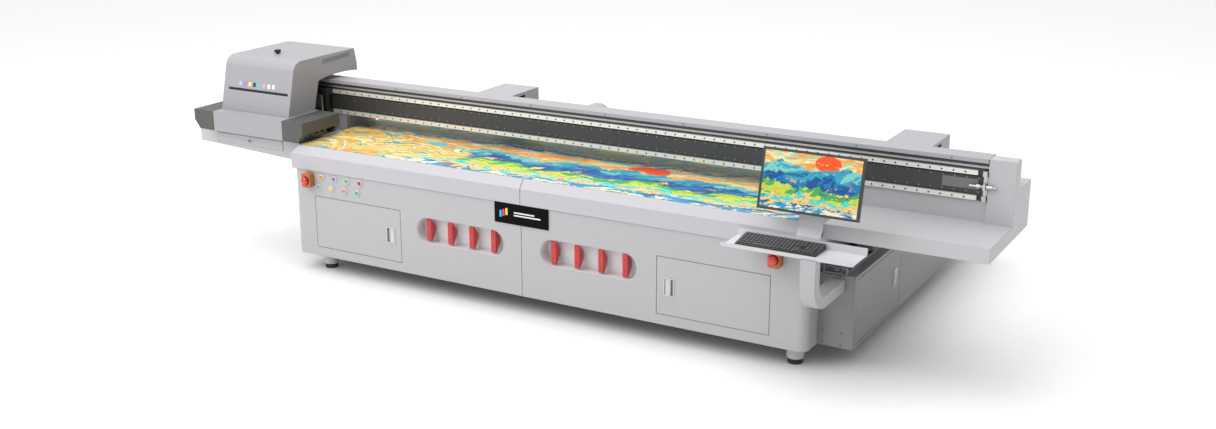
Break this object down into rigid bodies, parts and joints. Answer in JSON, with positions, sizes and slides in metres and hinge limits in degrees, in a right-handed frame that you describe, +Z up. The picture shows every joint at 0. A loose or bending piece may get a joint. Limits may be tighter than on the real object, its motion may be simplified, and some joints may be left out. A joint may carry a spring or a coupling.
{
  "type": "flatbed uv printer",
  "caption": "Flatbed UV printer: vacuum table on a boxed base, travelling gantry, print carriage with hood and curing lamps, keyboard tray, monitor, valve handles and switches.",
  "frame": {"origin": "centre of the overall box's base, on the floor", "axes": "+X along the gantry towards the keyboard tray, +Y from the front panel to the back, +Z up"},
  "size_m": [5.125, 2.615, 1.289],
  "materials": {
    "panel_grey": "satin",
    "table_white": "satin",
    "bed_metal": "satin",
    "board_print": "matt",
    "frame_paint": "satin",
    "recess_grey": "satin",
    "steel": "satin",
    "foot_grey": "satin",
    "switch_orange": "gloss",
    "sign_black": "gloss",
    "tray_white": "satin",
    "key_black": "matt",
    "monitor_dark": "satin",
    "latch_white": "gloss",
    "handle_red": "satin",
    "button_orange": "gloss",
    "button_purple": "gloss",
    "button_green": "gloss",
    "button_red": "gloss",
    "button_yellow": "gloss",
    "beam_black": "satin",
    "rail_steel": "polished",
    "lamp_dark": "satin",
    "hood_grey": "satin"
  },
  "bodies": {
    "machine_base": {"base_frame": "frame_paint", "front_panel_left": "panel_grey", "front_panel_right": "panel_grey", "body_panels": "panel_grey", "right_rail_box": "panel_grey", "table_rim": "table_white", "vacuum_bed": "bed_metal", "printed_board": "board_print", "valve_trays": "recess_grey", "vacuum_unit": "frame_paint", "ink_rack": "frame_paint", "long_guides": "steel", "levelling_feet": "foot_grey", "switch_housings": "switch_orange", "sign_plate": "sign_black", "tray_arm": "panel_grey", "keyboard_tray": "tray_white", "keyboard": "key_black", "monitor_stand": "tray_white"},
    "monitor": {"monitor": "monitor_dark"},
    "door_left": {"door_left": "panel_grey"},
    "door_right": {"door_right": "panel_grey"},
    "side_door": {"side_door": "panel_grey"},
    "latch_left": {"latch_left": "latch_white"},
    "latch_right": {"latch_right": "latch_white"},
    "latch_side": {"latch_side": "latch_white"},
    "valve_handle_1": {"valve_handle_1": "handle_red"},
    "valve_handle_2": {"valve_handle_2": "handle_red"},
    "valve_handle_3": {"valve_handle_3": "handle_red"},
    "valve_handle_4": {"valve_handle_4": "handle_red"},
    "valve_handle_5": {"valve_handle_5": "handle_red"},
    "valve_handle_6": {"valve_handle_6": "handle_red"},
    "valve_handle_7": {"valve_handle_7": "handle_red"},
    "valve_handle_8": {"valve_handle_8": "handle_red"},
    "push_button_1": {"push_button_1": "button_orange"},
    "push_button_2": {"push_button_2": "button_purple"},
    "push_button_3": {"push_button_3": "button_green"},
    "push_button_4": {"push_button_4": "button_red"},
    "push_button_5": {"push_button_5": "button_green"},
    "push_button_6": {"push_button_6": "button_yellow"},
    "push_button_7": {"push_button_7": "button_orange"},
    "push_button_8": {"push_button_8": "button_green"},
    "estop_left": {"estop_button_left": "button_orange"},
    "estop_right": {"estop_button_right": "button_orange"},
    "gantry": {"gantry_beam": "beam_black", "beam_cover": "table_white", "cross_rails": "rail_steel", "gantry_legs": "panel_grey", "right_housing": "panel_grey", "left_housing": "panel_grey", "capping_station": "beam_black", "rear_boxes": "table_white", "end_bracket": "steel"},
    "waste_drawer": {"waste_drawer": "panel_grey"},
    "carriage": {"carriage_plate": "beam_black"},
    "print_head": {"print_head_plate": "steel", "front_cover": "hood_grey", "uv_lamps": "lamp_dark", "hood": "hood_grey"},
    "hood_knob": {"hood_knob": "key_black"}
  },
  "joints": [
    {"name": "gantry_travel", "type": "slide", "parent": "machine_base", "child": "gantry", "axis": [0, 1, 0], "range_m": [0, 1.45]},
    {"name": "carriage_travel", "type": "slide", "parent": "gantry", "child": "carriage", "axis": [1, 0, 0], "range_m": [0, 3.9]},
    {"name": "head_lift", "type": "slide", "parent": "carriage", "child": "print_head", "axis": [0, 0, 1], "range_m": [0, 0.1]},
    {"name": "waste_drawer_slide", "type": "slide", "parent": "gantry", "child": "waste_drawer", "axis": [0, -1, 0], "range_m": [0, 0.3]},
    {"name": "hood_knob_turn", "type": "hinge", "parent": "print_head", "child": "hood_knob", "pos_m": [-2.0725, -0.6675, 1.264], "axis": [0, 0, 1], "range_deg": [-180, 180]},
    {"name": "monitor_tilt", "type": "hinge", "parent": "machine_base", "child": "monitor", "pos_m": [1.7185, -1.0685, 0.999], "axis": [1, 0, 0], "range_deg": [-12, 3]},
    {"name": "door_left_hinge", "type": "hinge", "parent": "machine_base", "child": "door_left", "pos_m": [-1.4885, -1.0325, 0.33], "axis": [0, 0, 1], "range_deg": [-100, 0]},
    {"name": "door_right_hinge", "type": "hinge", "parent": "machine_base", "child": "door_right", "pos_m": [1.4985, -1.0325, 0.33], "axis": [0, 0, 1], "range_deg": [0, 100]},
    {"name": "side_door_hinge", "type": "hinge", "parent": "machine_base", "child": "side_door", "pos_m": [1.8945, -0.8425, 0.305], "axis": [0, 0, 1], "range_deg": [-100, 0]},
    {"name": "latch_left_turn", "type": "hinge", "parent": "door_left", "child": "latch_left", "pos_m": [-0.9055, -1.0385, 0.327], "axis": [0, 0, 1], "range_deg": [0, 50], "stiffness_Nm_per_rad": 0.05},
    {"name": "latch_right_turn", "type": "hinge", "parent": "door_right", "child": "latch_right", "pos_m": [0.9155, -1.0385, 0.327], "axis": [0, 0, 1], "range_deg": [-50, 0], "stiffness_Nm_per_rad": 0.05},
    {"name": "latch_side_turn", "type": "hinge", "parent": "side_door", "child": "latch_side", "pos_m": [1.9005, -0.2325, 0.315], "axis": [0, 0, 1], "range_deg": [0, 50], "stiffness_Nm_per_rad": 0.05},
    {"name": "valve_handle_1_turn", "type": "hinge", "parent": "machine_base", "child": "valve_handle_1", "pos_m": [-0.6495, -1.0025, 0.398], "axis": [0, 1, 0], "range_deg": [0, 90]},
    {"name": "valve_handle_2_turn", "type": "hinge", "parent": "machine_base", "child": "valve_handle_2", "pos_m": [-0.4985, -1.0025, 0.398], "axis": [0, 1, 0], "range_deg": [0, 90]},
    {"name": "valve_handle_3_turn", "type": "hinge", "parent": "machine_base", "child": "valve_handle_3", "pos_m": [-0.3475, -1.0025, 0.398], "axis": [0, 1, 0], "range_deg": [0, 90]},
    {"name": "valve_handle_4_turn", "type": "hinge", "parent": "machine_base", "child": "valve_handle_4", "pos_m": [-0.1965, -1.0025, 0.398], "axis": [0, 1, 0], "range_deg": [0, 90]},
    {"name": "valve_handle_5_turn", "type": "hinge", "parent": "machine_base", "child": "valve_handle_5", "pos_m": [0.2065, -1.0025, 0.398], "axis": [0, 1, 0], "range_deg": [0, 90]},
    {"name": "valve_handle_6_turn", "type": "hinge", "parent": "machine_base", "child": "valve_handle_6", "pos_m": [0.3575, -1.0025, 0.398], "axis": [0, 1, 0], "range_deg": [0, 90]},
    {"name": "valve_handle_7_turn", "type": "hinge", "parent": "machine_base", "child": "valve_handle_7", "pos_m": [0.5085, -1.0025, 0.398], "axis": [0, 1, 0], "range_deg": [0, 90]},
    {"name": "valve_handle_8_turn", "type": "hinge", "parent": "machine_base", "child": "valve_handle_8", "pos_m": [0.6595, -1.0025, 0.398], "axis": [0, 1, 0], "range_deg": [0, 90]},
    {"name": "push_button_1_press", "type": "slide", "parent": "machine_base", "child": "push_button_1", "axis": [0, 1, 0], "range_m": [0, 0.004], "stiffness_N_per_m": 500},
    {"name": "push_button_2_press", "type": "slide", "parent": "machine_base", "child": "push_button_2", "axis": [0, 1, 0], "range_m": [0, 0.004], "stiffness_N_per_m": 500},
    {"name": "push_button_3_press", "type": "slide", "parent": "machine_base", "child": "push_button_3", "axis": [0, 1, 0], "range_m": [0, 0.004], "stiffness_N_per_m": 500},
    {"name": "push_button_4_press", "type": "slide", "parent": "machine_base", "child": "push_button_4", "axis": [0, 1, 0], "range_m": [0, 0.004], "stiffness_N_per_m": 500},
    {"name": "push_button_5_press", "type": "slide", "parent": "machine_base", "child": "push_button_5", "axis": [0, 1, 0], "range_m": [0, 0.004], "stiffness_N_per_m": 500},
    {"name": "push_button_6_press", "type": "slide", "parent": "machine_base", "child": "push_button_6", "axis": [0, 1, 0], "range_m": [0, 0.004], "stiffness_N_per_m": 500},
    {"name": "push_button_7_press", "type": "slide", "parent": "machine_base", "child": "push_button_7", "axis": [0, 1, 0], "range_m": [0, 0.004], "stiffness_N_per_m": 500},
    {"name": "push_button_8_press", "type": "slide", "parent": "machine_base", "child": "push_button_8", "axis": [0, 1, 0], "range_m": [0, 0.004], "stiffness_N_per_m": 500},
    {"name": "estop_left_press", "type": "slide", "parent": "machine_base", "child": "estop_left", "axis": [0, 1, 0], "range_m": [0, 0.006], "stiffness_N_per_m": 1500},
    {"name": "estop_right_press", "type": "slide", "parent": "machine_base", "child": "estop_right", "axis": [0, 1, 0], "range_m": [0, 0.006], "stiffness_N_per_m": 1500}
  ]
}
